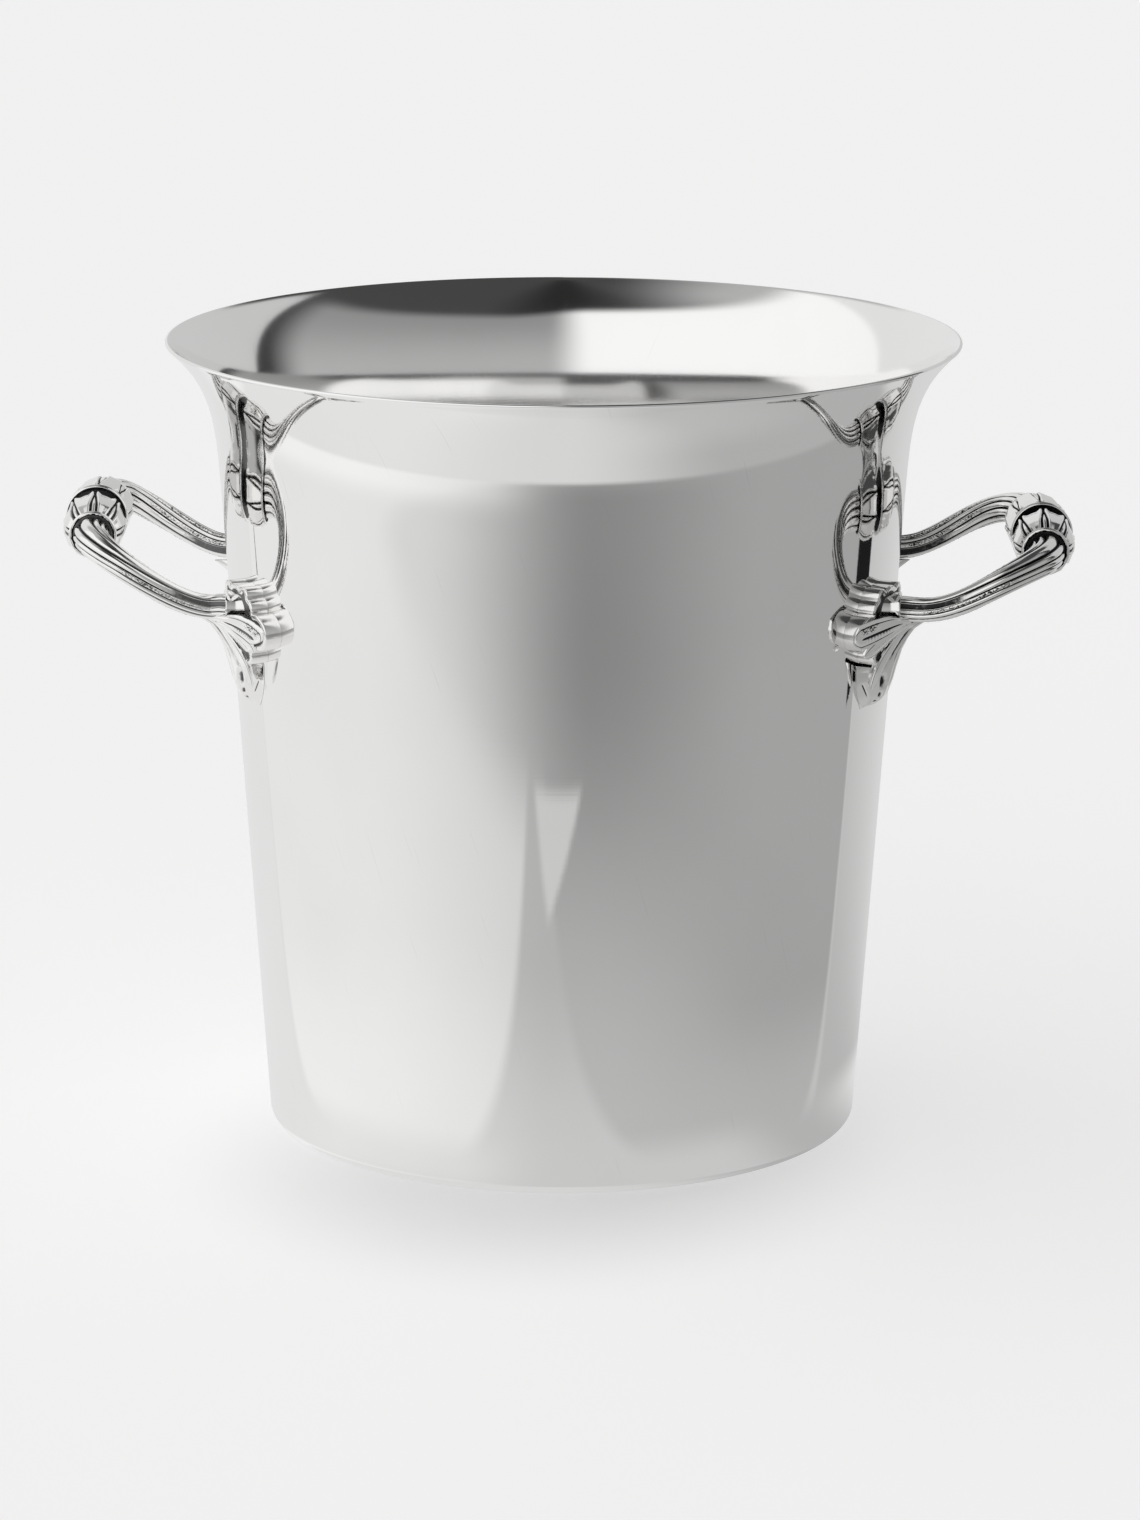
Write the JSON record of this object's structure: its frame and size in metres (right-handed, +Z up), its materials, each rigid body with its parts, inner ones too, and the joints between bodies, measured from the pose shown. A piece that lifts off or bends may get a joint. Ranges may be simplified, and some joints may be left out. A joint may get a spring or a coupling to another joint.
{
  "type": "champagne bucket",
  "caption": "Round silver-plated bucket for chilling a bottle in ice: tapered wall, flared rim and reeded side handles with leafy knops and scalloped leaf mounts.",
  "frame": {"origin": "centre of the resting face, on the body's axis at table level", "axes": "+Z up along the body's axis; +X through the right handle's knop, the longest extent; -Y faces the viewer"},
  "size_m": [0.2685, 0.2104, 0.2121],
  "materials": {
    "spun_silver": "polished silver plate with fine wiping scratches",
    "cast_silver": "polished silver plate, darkened in the recesses",
    "core_metal": "tarnished silver plate, in shadow"
  },
  "bodies": {
    "root": {"body_shell": "spun_silver", "base_disc": "spun_silver", "right_front_mount_plate": "cast_silver", "right_rear_mount_plate": "cast_silver", "right_front_acanthus_leaf": "cast_silver", "right_rear_acanthus_leaf": "cast_silver", "right_front_arm": "cast_silver", "right_rear_arm": "cast_silver", "right_front_collar": "cast_silver", "right_rear_collar": "cast_silver", "right_front_husk": "cast_silver", "right_rear_husk": "cast_silver", "right_knop_disc": "cast_silver", "right_knop_spindle": "core_metal", "left_front_mount_plate": "cast_silver", "left_rear_mount_plate": "cast_silver", "left_front_acanthus_leaf": "cast_silver", "left_rear_acanthus_leaf": "cast_silver", "left_front_arm": "cast_silver", "left_rear_arm": "cast_silver", "left_front_collar": "cast_silver", "left_rear_collar": "cast_silver", "left_front_husk": "cast_silver", "left_rear_husk": "cast_silver", "left_knop_disc": "cast_silver", "left_knop_spindle": "core_metal"}
  },
  "joints": []
}
